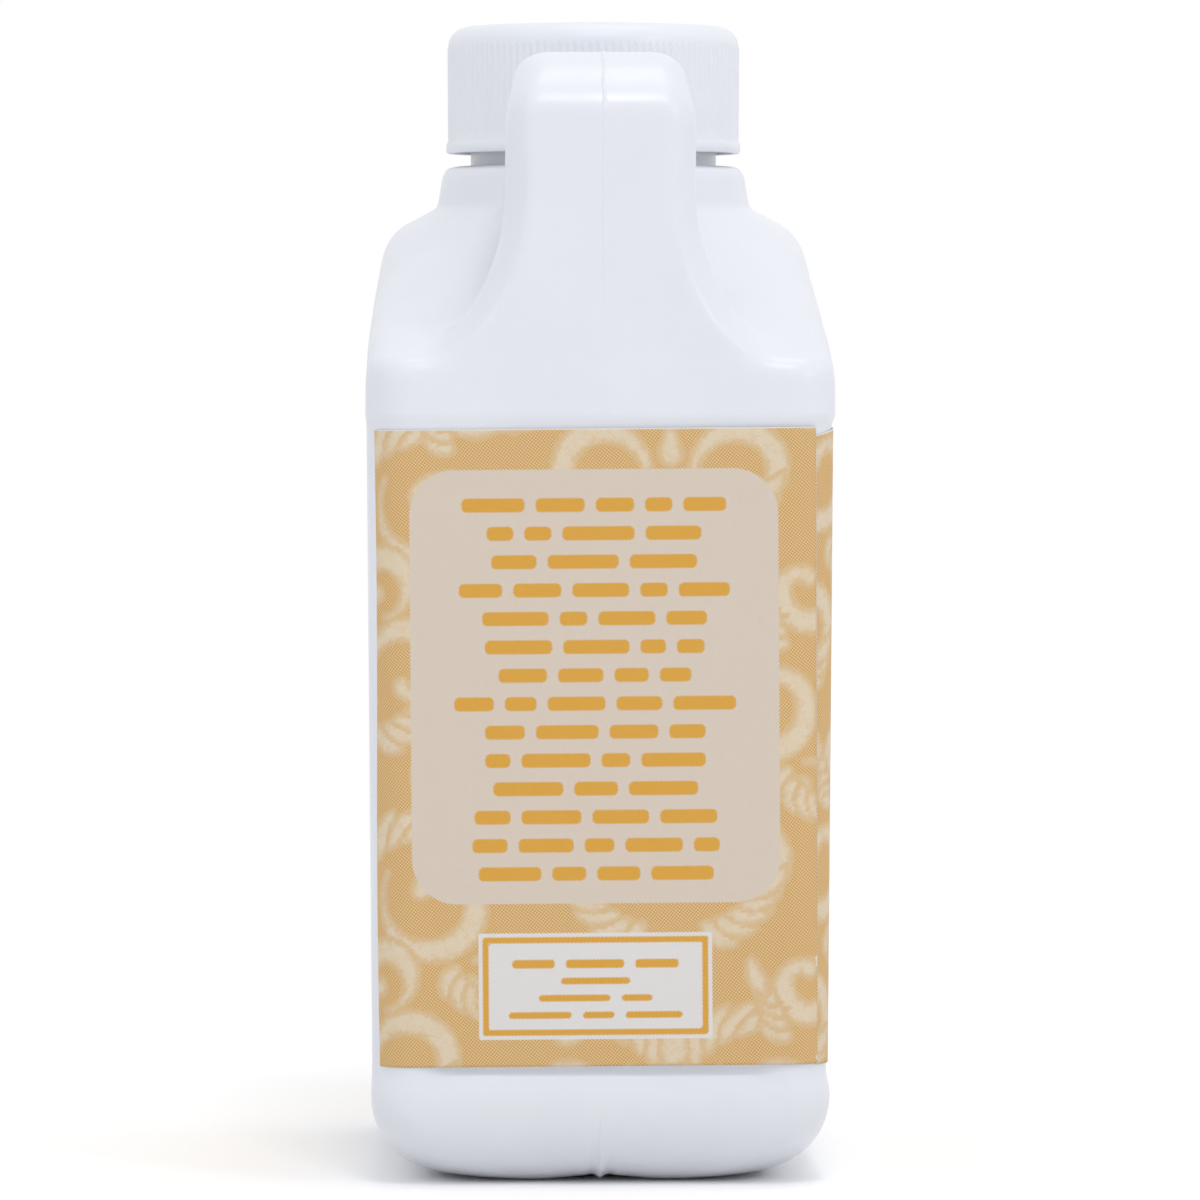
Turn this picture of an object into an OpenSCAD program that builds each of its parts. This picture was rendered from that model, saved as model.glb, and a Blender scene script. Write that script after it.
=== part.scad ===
// Half litre laundry bottle, blow moulded in one piece with a hollow through handle.
// A screw cap with a foam liner closes it, and two paper labels lie in a recessed panel.
// X is the narrow way, -Y is the handle side, Z is up and z = 0 is the table.

/* [Body] */
// Width of the body at the top of the label panel
body_w = 62.4; // [58:0.2:72]
// Width of the body at the foot of the label panel
foot_w = 61.1; // [57:0.1:71]
// Depth of the body from the handle side to the front
body_d = 78; // [74:0.5:90]
// Height of the body up to the foot of the collar
body_h = 130.5; // [125:0.1:150]
// Height of the shoulder below the foot of the collar
shoulder_h = 25.7; // [22:0.1:30]
// Radius of the upright corners
corner_r = 6; // [4:0.5:9]
// Rounding between the walls and the base
base_r = 12; // [8:0.5:12]
// Radius of the corners of the ring that the bottle stands on
foot_corner_r = 14; // [10:0.5:16]
// Width of the ring that the bottle stands on
foot_band = 3; // [2:0.5:4]
// Height of the push-up inside that ring
push_up = 1.8; // [1:0.1:3]
// Width of the slope up to the push-up's flat middle
push_up_slope = 10; // [6:0.5:12]
// Wall thickness of the blown shell
wall = 0.9; // [0.6:0.1:1.2]

/* [Weld along the base] */
// Half width of the hollow that lifts the weld off the table
hollow_half_w = 9; // [7:0.5:12]
// Depth of that hollow
hollow_depth = 0.6; // [0.5:0.1:1]
// Height that the weld reaches up the rear and the front
weld_h = 7.4; // [4:0.1:10]
// How far the weld stands out
weld_out = 0.45; // [0.2:0.05:0.5]
// Half width of the weld at its foot
weld_half_w = 0.7; // [0.5:0.1:1]

/* [Label panel] */
// Lowest edge of the recessed panel
panel_lo = 15.9; // [15:0.1:18]
// Highest edge of the recessed panel
panel_hi = 102.5; // [97:0.1:103]
// Depth of the panel
panel_depth = 0.5; // [0.45:0.05:0.8]
// Height of the slope at the top of the panel
panel_ramp = 1.4; // [1:0.1:2]
// Extra depth of the groove across the rear and the front, at the panel's lowest edge
groove_depth = 0.7; // [0.3:0.05:0.9]
// Height of the slope from the foot up into that groove
groove_h = 2.7; // [2:0.1:2.9]

/* [Collar and neck] */
// Distance of the neck's axis in front of the body's middle
neck_y = 12.5; // [10:0.1:14]
// Diameter of the collar at its top
collar_d = 42; // [40:0.1:46]
// How much wider the collar is at its foot
collar_draft = 1.3; // [0:0.1:2]
// Height of the collar
collar_h = 5.7; // [4.5:0.1:8]
// Rounding of the collar's top edge
collar_edge_r = 1.8; // [1:0.1:2.5]
// Diameter of the neck between its threads
neck_d = 34; // [32:0.1:35]
// Wall thickness of the neck
neck_wall = 1.7; // [1.2:0.1:2]
// Height of the neck above the collar
neck_h = 17.3; // [14:0.1:20]

/* [Handle] */
// Width of the grip
handle_w = 25.2; // [20:0.1:28]
// Thickness of the grip
grip_t = 12; // [10:0.1:13]
// Rise of the handle above the collar
handle_rise = 14.2; // [11:0.1:16]
// Thickness of the handle over the finger hole
arch_t = 11.3; // [9:0.1:12]
// Height of the bend between the grip and the top
arch_drop = 9; // [7:0.1:10]
// Depth of that bend, from the rear to the crest
arch_run = 10; // [8:0.1:12]
// Rounding of the bend inside the finger hole
finger_bend_r = 5; // [4:0.1:6]
// Drop of the root that the top grows out of, below the collar's top
root_drop = 1.8; // [1:0.1:3]
// Width of the slanted flanks along the grip's outer edges
flank_w = 3.2; // [2:0.1:4.5]
// Depth of those flanks
flank_d = 4.2; // [3:0.1:5]
// Rounding of the top's edges
arch_edge_r = 4.8; // [3:0.1:5]
// Rounding of the edges inside the finger hole
finger_edge_r = 4.8; // [3:0.1:5]
// Height of the flares that widen the grip to the panel
flare_h = 23.7; // [18:0.1:24]
// Height of the lowest point of the flares
flare_lo = 108.8; // [107:0.1:111]
// Free space between the cap and the handle's top
cap_room = 1.2; // [0.8:0.1:2]

/* [Cap] */
// Room between neck and cap for the threads
thread_room = 1.95; // [1.5:0.05:2.5]
// Wall thickness of the cap between its ribs
cap_wall = 1.1; // [0.8:0.1:1.6]
// Thickness of the cap's top
cap_top_t = 1.5; // [1:0.1:2.5]
// Rounding of the cap's top edge
cap_edge_r = 2.8; // [1:0.1:3]
// Rise of the slightly domed top
cap_crown = 0.5; // [0:0.1:0.8]
// Number of ribs round the cap
rib_count = 120; // [80:4:140]
// Height of the ribs
rib_depth = 0.25; // [0.2:0.05:0.5]
// How far the bead at the skirt's foot stands past the ribs
bead_out = 0.1; // [0.05:0.05:0.5]
// Height of that bead
bead_h = 1.4; // [0.8:0.1:2.5]
// Gap between the cap's skirt and the collar
skirt_gap = 1.8; // [0.8:0.1:3]

/* [Liner] */
// Thickness of the foam liner
liner_t = 1; // [0.6:0.1:1.5]
// Clearance between the liner and the cap's wall
liner_room = 0.2; // [0.1:0.05:0.5]

/* [Labels] */
// Thickness of the paper
label_t = 0.12; // [0.08:0.01:0.15]
// Space that the glue takes under a label
glue_t = 0.1; // [0.08:0.01:0.12]
// Height of both labels
label_h = 84.4; // [70:0.1:84.5]
// Height of the labels' lower edge
label_lo = 16.3; // [16.1:0.1:18]
// Width of the label on the handle side
back_label_w = 58.6; // [50:0.1:59]
// How far its middle lies to the right of the body's
back_label_x = -0.5; // [-0.5:0.1:0.5]
// How far the wrapped label runs under the other one's right edge
lap_w = 1.5; // [0.5:0.1:3]
// Distance from the wrapped label's far end to the left rear corner
bare_w = 3; // [1:0.5:20]

/* [Hidden] */

rear_y = -body_d / 2;
collar_top = body_h + collar_h;
collar_r = collar_d / 2;
collar_foot_r = collar_r + collar_draft / 2;
neck_r = neck_d / 2;
bore_r = neck_r - neck_wall;
rim_z = collar_top + neck_h;
cap_bore_r = neck_r + thread_room;
valley_r = cap_bore_r + cap_wall;
crest_r = valley_r + rib_depth;
bead_r = crest_r + bead_out;
skirt_z = collar_top + skirt_gap;
ceiling_z = rim_z + liner_t;
cap_top_z = ceiling_z + cap_top_t;
label_hi = label_lo + label_h;
stand_inset = base_r + foot_band;

// Height at which the hollow under the weld has faded out, and how the weld's ridge dies away upwards.
hollow_fade = 3;
weld_taper = 1.3;

// Share of the push-up's rise that is reached halfway up its slope.
push_up_share = 0.8;

// Half height of the groove's deepest part, and the height over which it runs out behind the labels.
groove_half_h = 0.4;
groove_run_out = 1;

// Points of a ring: arcs at the corners, and steps along the sides and along the ends.
// The steps crowd round the middle of the ends, where the weld runs.
fine_ring = [5, [0.12, 0.25, 0.38, 0.5, 0.62, 0.75, 0.88],
    [0.12, 0.25, 0.37, 0.45, 0.485, 0.5, 0.515, 0.55, 0.63, 0.75, 0.88]];
plain_ring = [3, [0.17, 0.33, 0.5, 0.67, 0.83], [0.17, 0.33, 0.5, 0.67, 0.83]];

// Stations down the shoulder: share of its height, share of the way out to the sides and front,
// share of the way out to the rear, and how round the section is.
shoulder = [
    [0, 0, 0, 1],
    [0.06, 0.30, 0.025, 0.94],
    [0.10, 0.50, 0.045, 0.88],
    [0.14, 0.62, 0.065, 0.82],
    [0.20, 0.73, 0.105, 0.75],
    [0.28, 0.80, 0.17, 0.66],
    [0.40, 0.86, 0.29, 0.54],
    [0.52, 0.91, 0.45, 0.42],
    [0.64, 0.95, 0.65, 0.29],
    [0.73, 0.975, 0.83, 0.17],
    [0.79, 0.985, 0.94, 0.08],
    [0.84, 0.99, 1, 0],
    [1, 1, 1, 0]
];

function mix(a, b, t) = a + (b - a) * t;
function clamp01(t) = min(max(t, 0), 1);

// Half width of the body at a height: the panel narrows evenly towards its foot.
function half_w(z) = mix(foot_w, body_w, clamp01((z - panel_lo) / (panel_hi - panel_lo))) / 2;

function arc(centre, r, start, steps) =
    [for (i = [0:steps]) centre + r * [cos(start + 90 * i / steps), sin(start + 90 * i / steps)]];
function along(a, b, shares) = [for (t = shares) mix(a, b, t)];

// Rounded rectangle round the origin, from the right end of the rear side, counterclockwise.
function rounded(hx, hy, r, ring) = concat(
    arc([hx - r, r - hy], r, -90, ring[0]),
    along([hx, r - hy], [hx, hy - r], ring[1]),
    arc([hx - r, hy - r], r, 0, ring[0]),
    along([hx - r, hy], [r - hx, hy], ring[2]),
    arc([r - hx, hy - r], r, 90, ring[0]),
    along([-hx, hy - r], [-hx, r - hy], ring[1]),
    arc([r - hx, r - hy], r, 180, ring[0]),
    along([r - hx, -hy], [hx - r, -hy], ring[2])
);

// The same ring where the section turns round: a superellipse whose power falls to 2, a true ellipse.
square_power = 13;
function section(hx, hy, r, round, ring) =
    let (flat = rounded(hx, hy, min(r, hx, hy), ring), power = 2 + (square_power - 2) * pow(1 - round, 2.5))
    round == 0 ? flat : [
        for (p = rounded(body_w / 2, body_d / 2, corner_r, ring))
            let (
                a = atan2(p[1] / body_d, p[0] / body_w),
                reach = pow(pow(abs(cos(a)), power) + pow(abs(sin(a)), power), -1 / power)
            )
            reach * [hx * cos(a), hy * sin(a)]
    ];

// One ring of the body at height z. `inset` draws it in on all sides, `slope` is the direction
// that the wall faces there, 0 for down and 90 for out. `dent` sinks the flat of the rear and the front.
function ring_at(z, hx, front, rear, r, round, inset, ring, slope = 90, weld = 0, dent = 0) =
    let (mid = (front + rear) / 2, hy = (front - rear) / 2 - inset)
    [for (p = section(hx - inset, hy, max(r - inset, 1), round, ring))
        let (
            end = abs(p[1]) > hy - 1 && abs(p[0]) < hollow_half_w,
            flat = abs(p[1]) > hy - 0.01 && abs(p[0]) < hx - r - 0.01,
            hollow = hollow_depth * (1 + cos(180 * p[0] / hollow_half_w)) / 2,
            lift = end ? hollow * clamp01(1 - z / hollow_fade) : 0,
            ridge = weld_out * clamp01(1 - abs(p[0]) / weld_half_w) * clamp01(weld_taper - z / weld_h),
            out = (end ? weld * ridge : 0) - (flat ? dent : 0)
        )
        [p[0], mid + p[1] + sign(p[1]) * out * sin(slope), z + lift - out * cos(slope)]];

// Rings of the foot: from the flat of the push-up out to the standing ring and up the rounding.
function foot_ring(inset, z, slope, shell, ring, weld) =
    ring_at(z, half_w(0), body_d / 2, rear_y, mix(corner_r, foot_corner_r, min(inset / base_r, 1)) + inset,
        0, inset + shell, ring, slope, weld);
function foot_rings(shell, ring, steps, weld) = concat(
    [foot_ring(stand_inset + push_up_slope, push_up + shell, 0, shell, ring, 0),
     foot_ring(stand_inset + push_up_slope / 2, push_up * push_up_share + shell, 0, shell, ring, weld),
     foot_ring(stand_inset, shell, 0, shell, ring, weld)],
    [for (i = [0:steps])
        let (a = 90 * i / steps)
        foot_ring(base_r * (1 - sin(a)), base_r * (1 - cos(a)) + shell, a, shell, ring, weld)]
);

// Rings of the straight walls: height, inset and depth of the groove. The panel lies flush with the foot
// at the sides, and a groove crosses the rear and the front between them.
wall_stations = [
    [panel_lo - groove_h, panel_depth / 2, 0],
    [panel_lo - groove_half_h, panel_depth, groove_depth],
    [panel_lo + groove_half_h, panel_depth, groove_depth],
    [panel_lo + groove_half_h + groove_run_out, panel_depth, 0],
    [panel_hi - panel_ramp, panel_depth, 0],
    [panel_hi, 0, 0]
];
function wall_rings(shell, ring) = [
    for (s = wall_stations)
        ring_at(s[0], half_w(s[0]), body_d / 2, rear_y, corner_r, 0, s[1] + shell, ring, dent = s[2])
];

// Rings of the shoulder, from the full section up to the foot of the collar.
function shoulder_rings(shell, ring) = [
    for (i = [len(shoulder) - 1:-1:0])
        let (s = shoulder[i], side = mix(collar_foot_r, body_w / 2, s[1]))
        ring_at(body_h - shoulder_h * s[0] - shell, side,
            mix(neck_y + collar_foot_r, body_d / 2, s[1]),
            mix(neck_y - collar_foot_r, rear_y, s[2]),
            corner_r, s[3], shell, ring)
];

// Rings of the collar, with its rounded top edge.
function collar_ring(z, r, ring) = ring_at(z, r, neck_y + r, neck_y - r, r, 1, 0, ring);
function collar_rings(shell, ring) = [
    for (a = [0:30:90])
        collar_ring(collar_top - shell - collar_edge_r * (1 - sin(a)),
            collar_r - shell - collar_edge_r * (1 - cos(a)), ring)
];

// Skin over a stack of rings that all have the same number of points.
module loft(rings) {
    n = len(rings[0]);
    m = len(rings);
    points = [for (ring = rings) for (p = ring) p];
    sides = [for (k = [0:m - 2]) for (i = [0:n - 1])
        let (j = (i + 1) % n, a = k * n + i, b = k * n + j)
        each [[a, a + n, b], [b, a + n, b + n]]];
    bottom = [[for (i = [0:n - 1]) i]];
    top = [[for (i = [n - 1:-1:0]) (m - 1) * n + i]];
    polyhedron(points = points, faces = concat(bottom, sides, top), convexity = 8);
}

module body_form(shell, ring, steps, weld) {
    loft(concat(
        foot_rings(shell, ring, steps, weld),
        wall_rings(shell, ring),
        shoulder_rings(shell, ring),
        collar_rings(shell, ring)
    ));
}

// The handle in side view: where its outer and its inner face run, as pairs of points [y, z].
// The top lands behind the cap's bead and the collar, and its root is buried in the neck's foot.
collar_room = 0.6;
root_run = 2;
root_sink = 5;
buried_run = 2.5;
grip_in_y = rear_y + grip_t;
arch_top = collar_top + handle_rise;
arch_z = arch_top - arch_drop;
arch_under = arch_top - arch_t;
land_y = neck_y - max(bead_r + cap_room, collar_r + collar_room);
land_z = collar_top - root_drop;
crown_out_y = rear_y + arch_run;
crown_in_y = grip_in_y + finger_bend_r;
crown_in_z = arch_under - finger_bend_r;
root_in_y = land_y - root_run;
root_in_z = body_h - root_sink;
buried_y = neck_y - bore_r - buried_run;

// A quarter turn of power 2 is round. A lower power makes it a straight slope between two tight turns,
// as at the rear bend and along the grip's flanks.
bend_power = 1.4;
flank_power = 1.3;
function turn(share, power = bend_power) = pow(share, 2 / power);

// Outer edges of the handle: width, depth and power of their quarter turn.
grip_edge = [flank_w, flank_d, flank_power];
arch_edge = [arch_edge_r, arch_edge_r, 2];
flare_edge = [corner_r, corner_r, 1.6];
function rear_bend(a) = [
    [crown_out_y - arch_run * turn(cos(a)), arch_z + arch_drop * turn(sin(a))],
    [crown_in_y - finger_bend_r * cos(a), crown_in_z + finger_bend_r * sin(a)]
];
function front_bend(a) = [
    [mix(crown_out_y, land_y, sin(a)), mix(land_z, arch_top, cos(a))],
    [mix(crown_in_y, root_in_y, sin(a)), mix(root_in_z, arch_under, cos(a))]
];

// Half width of the flares at an angle: 90 at the panel, 0 where the plain grip starts.
flare_to = half_w(panel_hi) - 0.4;
function flare_w(a) = mix(handle_w / 2, flare_to, 1 - cos(a));

// One slice of the handle across the pair of points, with its edges turned.
edge_shrink = 0.6;
function slice(pair, hx, edge, shell, steps) =
    let (
        across = pair[1] - pair[0],
        t = norm(across),
        dir = across / t,
        e_w = edge[0] - edge_shrink * shell,
        e_d = edge[1] - edge_shrink * shell,
        r_in = max(min(finger_edge_r, t - edge[1] - 0.3) - shell, 0.8),
        w = hx - shell,
        turns = [for (i = [0:steps]) let (b = 90 * i / steps) [turn(sin(b), edge[2]), turn(cos(b), edge[2])]],
        flat = concat(
            [for (q = turns) [w - e_w * (1 - q[0]), shell + e_d * (1 - q[1])]],
            arc([w - r_in, t - shell - r_in], r_in, 0, steps),
            arc([r_in - w, t - shell - r_in], r_in, 90, steps),
            [for (q = turns) [e_w * (1 - q[1]) - w, shell + e_d * (1 - q[0])]]
        )
    )
    [for (p = flat) [p[0], pair[0][0] + dir[0] * p[1], pair[0][1] + dir[1] * p[1]]];

// Slices from the panel up the flares, over the arch and down into the shoulder.
function handle_slices(shell, steps, fine) = concat(
    [for (i = [0:fine])
        let (
            a = 90 - 90 * i / fine,
            z = flare_lo + flare_h * (1 - sin(a)),
            sink = 0.3 * pow(sin(a), 12),
            wide = (flare_w(a) - handle_w / 2) / (flare_to - handle_w / 2)
        )
        slice([[rear_y + sink, z], [grip_in_y + 6 * pow(sin(a), 6), z]], flare_w(a),
            mix(grip_edge, flare_edge, wide), shell, steps)],
    [for (a = [0:90 / fine:89.9]) slice(rear_bend(a), handle_w / 2,
        mix(grip_edge, arch_edge, sin(a)), shell, steps)],
    [for (a = [0:90 / fine:90]) slice(front_bend(a), handle_w / 2, arch_edge, shell, steps)],
    [slice([[buried_y, land_z - 1.5], [buried_y, root_in_z - 1.5]], handle_w / 2 - 1, [3, 3, 2], shell, steps)]
);

// The blown shell up to the collar's top, with the hole that the neck closes.
module blown_shell() {
    difference() {
        union() {
            body_form(0, fine_ring, 6, 1);
            loft(handle_slices(0, 4, 9));
        }
        body_form(wall, plain_ring, 4, 0);
        loft(handle_slices(wall, 2, 6));
        translate([0, neck_y, collar_top - wall - 1]) cylinder(r = neck_r - neck_wall / 2, h = wall + 2, $fn = 48);
    }
}

module neck() {
    lip = 0.5;
    translate([0, neck_y, 0]) rotate_extrude($fn = 96) polygon([
        [bore_r, collar_top - wall - 0.4],
        [neck_r, collar_top - wall - 0.4],
        [neck_r, rim_z - lip],
        [neck_r - lip, rim_z],
        [bore_r, rim_z]
    ]);
}

module bottle() {
    color("#eef0f5") union() {
        resize([0, 0, 0]) blown_shell();
        neck();
    }
}

// Ribs as one profile, each with a flat crest and a flat valley. They end where the top edge starts to turn.
rib_top_z = cap_top_z - cap_crown - cap_edge_r;
module ribs() {
    step = 360 / rib_count;
    linear_extrude(height = rib_top_z - skirt_z) polygon([
        for (i = [0:rib_count - 1])
            each [
                for (q = [[0, valley_r], [0.4, valley_r], [0.55, crest_r], [0.85, crest_r]])
                    q[1] * [cos((i + q[0]) * step), sin((i + q[0]) * step)]
            ]
    ]);
}

// Outline of the cap between its ribs: a straight wall, a rounded edge and a slightly domed top.
function cap_outline(r) = concat(
    [[0, skirt_z], [r, skirt_z]],
    [for (a = [0:10:80]) [r - cap_edge_r * (1 - cos(a)), rib_top_z + cap_edge_r * sin(a)]],
    [for (share = [1:-0.2:0.1]) [(r - cap_edge_r) * share, cap_top_z - cap_crown * share * share]],
    [[0, cap_top_z]]
);

module cap() {
    color("#e6e9f0") translate([0, neck_y, 0]) difference() {
        union() {
            translate([0, 0, skirt_z]) ribs();
            translate([0, 0, skirt_z]) cylinder(r = bead_r, h = bead_h, $fn = 96);
            rotate_extrude($fn = 96) polygon(cap_outline((valley_r + crest_r) / 2));
        }
        translate([0, 0, skirt_z - 1]) cylinder(r = cap_bore_r, h = ceiling_z - skirt_z + 1, $fn = 96);
    }
}

module cap_liner() {
    color("white") translate([0, neck_y, rim_z]) cylinder(r = cap_bore_r - liner_room, h = liner_t, $fn = 96);
}

// Paper sheet between two heights. `path` gives its points at a height and a distance off the panel.
module sheet(path, z_lo, z_hi, gap) {
    n = len(path(z_lo, gap));
    levels = [[z_lo, gap], [z_lo, gap + label_t], [z_hi, gap + label_t], [z_hi, gap]];
    points = [for (l = levels) for (p = path(l[0], l[1])) [p[0], p[1], l[0]]];
    strips = [for (k = [0:3]) for (i = [0:n - 2])
        let (a = k * n + i, b = (k + 1) % 4 * n + i)
        each [[a, a + 1, b], [b, a + 1, b + 1]]];
    ends = [[0, n, 2 * n, 3 * n], [4 * n - 1, 3 * n - 1, 2 * n - 1, n - 1]];
    polyhedron(points = points, faces = concat(strips, ends), convexity = 6);
}

// Points of the rear corners that a label of half width w reaches, without the flat side.
function bent_corner(z, out, w, sx) =
    let (
        hx = half_w(z) - panel_depth + out,
        hy = body_d / 2 - panel_depth + out,
        r = corner_r - panel_depth + out,
        reach = w > hx - r ? asin(min((w - hx + r) / r, 0.98)) : 0
    )
    [for (i = [0:4]) [sx * (min(w, hx - r) + r * sin(reach * i / 4)), -hy + r - r * cos(reach * i / 4)]];

function back_path(z, out) =
    let (left = bent_corner(z, out, back_label_w / 2 - back_label_x, -1))
    concat([for (i = [4:-1:0]) left[i]], bent_corner(z, out, back_label_w / 2 + back_label_x, 1));

function wrap_path(z, out) =
    let (
        hx = half_w(z) - panel_depth + out,
        hy = body_d / 2 - panel_depth + out,
        r = corner_r - panel_depth + out,
        start = asin(min(max((back_label_w / 2 + back_label_x - lap_w - hx + r) / r, 0), 0.95))
    )
    concat(
        [for (i = [0:5]) let (a = mix(start, 90, i / 5)) [hx - r + r * sin(a), -hy + r - r * cos(a)]],
        arc([hx - r, hy - r], r, 0, 6),
        arc([r - hx, hy - r], r, 90, 6),
        [[-hx, r - hy + bare_w]]
    );

module back_label() {
    color("#d3ad75") sheet(function (z, out) back_path(z, out), label_lo, label_hi, 2 * glue_t + label_t);
}

module wrap_label() {
    color("#d1aa75") sheet(function (z, out) wrap_path(z, out), label_lo, label_hi, glue_t);
}

bottle();
cap();
cap_liner();
back_label();
wrap_label();
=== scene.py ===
# Laundry detergent bottle: a blow moulded jug with a hollow handle, a ribbed screw cap and two paper labels.
# Lengths in the settings are millimetres. X is the narrow way, -Y is the handle side, z = 0 is the table.
import math

import bmesh
import bpy
import numpy as np
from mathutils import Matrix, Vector
from mathutils.bvhtree import BVHTree


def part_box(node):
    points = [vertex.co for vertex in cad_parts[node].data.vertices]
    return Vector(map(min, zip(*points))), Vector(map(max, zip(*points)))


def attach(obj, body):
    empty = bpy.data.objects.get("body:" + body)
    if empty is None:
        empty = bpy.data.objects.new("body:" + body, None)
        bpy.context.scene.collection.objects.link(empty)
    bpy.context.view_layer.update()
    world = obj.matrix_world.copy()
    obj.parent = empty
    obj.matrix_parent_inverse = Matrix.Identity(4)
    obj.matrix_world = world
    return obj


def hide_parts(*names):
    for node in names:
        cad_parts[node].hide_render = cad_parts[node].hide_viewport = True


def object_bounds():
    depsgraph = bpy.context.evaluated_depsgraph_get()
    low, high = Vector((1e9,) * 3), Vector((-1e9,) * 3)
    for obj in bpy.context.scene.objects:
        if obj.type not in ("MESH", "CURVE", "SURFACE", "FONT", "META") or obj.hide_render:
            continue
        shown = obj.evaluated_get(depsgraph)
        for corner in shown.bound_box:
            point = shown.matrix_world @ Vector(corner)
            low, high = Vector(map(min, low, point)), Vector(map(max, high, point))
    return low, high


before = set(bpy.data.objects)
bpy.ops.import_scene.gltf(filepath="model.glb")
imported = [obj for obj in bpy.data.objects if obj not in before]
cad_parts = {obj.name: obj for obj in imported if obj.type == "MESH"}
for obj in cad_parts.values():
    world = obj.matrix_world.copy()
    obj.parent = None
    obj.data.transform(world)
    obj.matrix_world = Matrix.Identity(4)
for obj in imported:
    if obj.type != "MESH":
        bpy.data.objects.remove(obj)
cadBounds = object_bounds()
mm = 0.001


def boxOf(node):  # lowest and highest corner of a CAD node, in millimetres
    low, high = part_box(node)
    return low / mm, high / mm


bottleLow, bottleHigh = boxOf("bottle")
capLow, capHigh = boxOf("cap")
linerLow, linerHigh = boxOf("cap_liner")
backLow, backHigh = boxOf("back_label")
wrapLow, wrapHigh = boxOf("wrap_label")
neckY = (capLow.y + capHigh.y) / 2
rimZ = bottleHigh.z


# Camera, at the photograph's place: about a metre behind the handle, at shoulder height
camera = {
    "x": -21, "distance": 1000, "height": 115, "pitch": -2.231, "yaw": 1.256, "lens": 215.85, "sensor": 36,
}


def makeCamera():
    data = bpy.data.cameras.new("camera")
    data.lens = camera["lens"]
    data.sensor_width = camera["sensor"]
    data.sensor_fit = "HORIZONTAL"
    data.clip_end = 50
    eye = bpy.data.objects.new("camera", data)
    eye.location = Vector((camera["x"], neckY - camera["distance"], camera["height"])) * mm
    eye.rotation_euler = (math.radians(90 + camera["pitch"]), 0, -math.radians(camera["yaw"]))
    bpy.context.scene.collection.objects.link(eye)
    bpy.context.scene.camera = eye


makeCamera()
print("camera made")


# Small tools for shapes
def mix(a, b, t):
    return a + (b - a) * t


def ease(low, high, value):  # 0 at low, 1 at high, smooth between
    t = np.clip((value - low) / (high - low), 0, 1)
    return t * t * (3 - 2 * t)


# Skin over rings of points: a circle's edges, extruded ring by ring
def loft(rings, closeFirst=False, closeLast=False):
    bm = bmesh.new()
    slot = bm.verts.layers.int.new("slot")
    bmesh.ops.create_circle(bm, segments=len(rings[0]), radius=1)
    for index, vert in enumerate(bm.verts):
        vert[slot] = index
        vert.co = Vector(rings[0][index]) * mm
    firstEdges = list(bm.edges)
    edges = firstEdges
    for ring in rings[1:]:
        made = bmesh.ops.extrude_edge_only(bm, edges=edges)["geom"]
        for vert in made:
            if isinstance(vert, bmesh.types.BMVert):
                vert.co = Vector(ring[vert[slot]]) * mm
        edges = [e for e in made if isinstance(e, bmesh.types.BMEdge) and e.is_boundary]
    if closeFirst:
        bmesh.ops.edgeloop_fill(bm, edges=firstEdges)
    if closeLast:
        bmesh.ops.edgeloop_fill(bm, edges=edges)
    bm.verts.layers.int.remove(slot)
    bmesh.ops.recalc_face_normals(bm, faces=bm.faces)
    return bm


def spun(profile, steps):  # closed profile of [radius, z] points, turned round the neck's axis
    bm = bmesh.new()
    verts = [bm.verts.new(Vector((r, neckY, z)) * mm) for r, z in profile]
    edges = [bm.edges.new((verts[i - 1], verts[i])) for i in range(len(verts))]
    bmesh.ops.spin(bm, geom=verts + edges, cent=(0, neckY * mm, 0), axis=(0, 0, 1), angle=math.tau,
                   steps=steps, use_merge=True)
    bmesh.ops.remove_doubles(bm, verts=bm.verts, dist=1e-6)
    bmesh.ops.recalc_face_normals(bm, faces=bm.faces)
    return bm


# Helical thread on the neck (sign 1) or in the cap (sign -1), fading out at both ends
def thread(cut, sign):
    count = int(cut["turns"] * 72)
    rings = []
    for i in range(count + 1):
        share = i / count
        angle = math.radians(cut["start"]) + math.tau * cut["turns"] * share
        z = cut["low"] + cut["pitch"] * cut["turns"] * share
        tall = float(ease(0, cut["fade"], share) * ease(0, cut["fade"], 1 - share))
        tip = cut["root"] + sign * cut["rise"] * max(tall, 0.02)
        profile = [(cut["root"] - sign * 0.3, -cut["foot"]), (tip, -cut["crest"]),
                   (tip, cut["crest"]), (cut["root"] - sign * 0.3, cut["foot"])]
        rings.append([(r * math.cos(angle), neckY + r * math.sin(angle), z + dz) for r, dz in profile])
    return loft(rings, True, True)


def toMesh(bm, name):
    mesh = bpy.data.meshes.new(name)
    bm.to_mesh(mesh)
    bm.free()
    return mesh


def toObject(mesh, name):
    piece = bpy.data.objects.new(name, mesh)
    bpy.context.scene.collection.objects.link(piece)
    return piece


def applied(piece):  # mesh of a piece with its modifiers applied; the piece is removed
    bpy.context.view_layer.update()
    depsgraph = bpy.context.evaluated_depsgraph_get()
    mesh = bpy.data.meshes.new_from_object(piece.evaluated_get(depsgraph))
    bpy.data.objects.remove(piece)
    return mesh


def finished(bm, name, sharp):  # object with smooth shading, and sharp edges above an angle
    mesh = toMesh(bm, name)
    mesh.polygons.foreach_set("use_smooth", [True] * len(mesh.polygons))
    mesh.set_sharp_from_angle(angle=math.radians(sharp))
    return toObject(mesh, name)


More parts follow.
